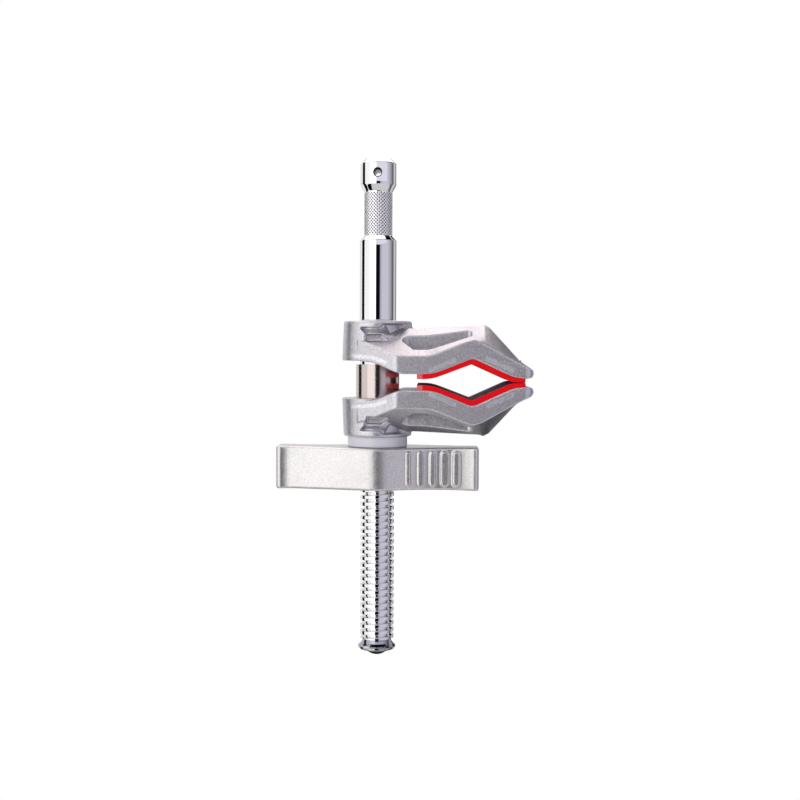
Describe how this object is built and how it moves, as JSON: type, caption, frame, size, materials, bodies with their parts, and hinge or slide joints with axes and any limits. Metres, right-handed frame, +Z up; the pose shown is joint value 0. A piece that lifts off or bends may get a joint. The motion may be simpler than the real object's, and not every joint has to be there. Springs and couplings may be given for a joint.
{
  "type": "screw jaw clamp",
  "caption": "Screw clamp with two V jaws lined with red rubber, a chromed stud with a knurled neck and tether hole above, and a cross handle that drives the lower jaw along a thread.",
  "frame": {"origin": "where the stud's axis leaves the top face of the fixed jaw's boss", "axes": "+Z up along the stud, +X towards the jaw tips, Y along the gripped pipe"},
  "size_m": [0.1113, 0.046, 0.218],
  "materials": {
    "chromed_steel": "polished",
    "cast_alloy": "shot-blasted casting",
    "handle_alloy": "satin casting",
    "red_rubber": "satin",
    "ground_steel": "brushed",
    "spring_steel": "bright",
    "black_steel": "black oxide",
    "white_nylon": "satin",
    "bronze": "machined"
  },
  "bodies": {
    "spindle_body": {"spindle": "chromed_steel", "fixed_jaw": "cast_alloy", "fixed_jaw_pad": "red_rubber", "jaw_cross_pin": "spring_steel", "end_cap": "chromed_steel", "end_cap_screw": "black_steel"},
    "carriage": {"moving_jaw": "cast_alloy", "moving_jaw_pad": "red_rubber", "guide_sleeve": "ground_steel", "guide_key": "spring_steel", "key_screw": "black_steel", "thrust_collar": "white_nylon", "retaining_washer": "ground_steel", "retaining_ring": "spring_steel"},
    "handle_body": {"handle": "handle_alloy", "handle_nut": "bronze", "nut_dowels": "spring_steel"}
  },
  "joints": [
    {"name": "jaw_slide", "type": "slide", "parent": "spindle_body", "child": "carriage", "axis": [0, 0, 1], "range_m": [-0.066, 0]},
    {"name": "handle_spin", "type": "hinge", "parent": "carriage", "child": "handle_body", "pos_m": [0, 0, -0.064], "axis": [0, 0, 1], "range_deg": [-7925, 5]}
  ],
  "couplings": [
    {"joint": "handle_spin", "follows": "jaw_slide", "rad_per_m": 2094.4}
  ]
}
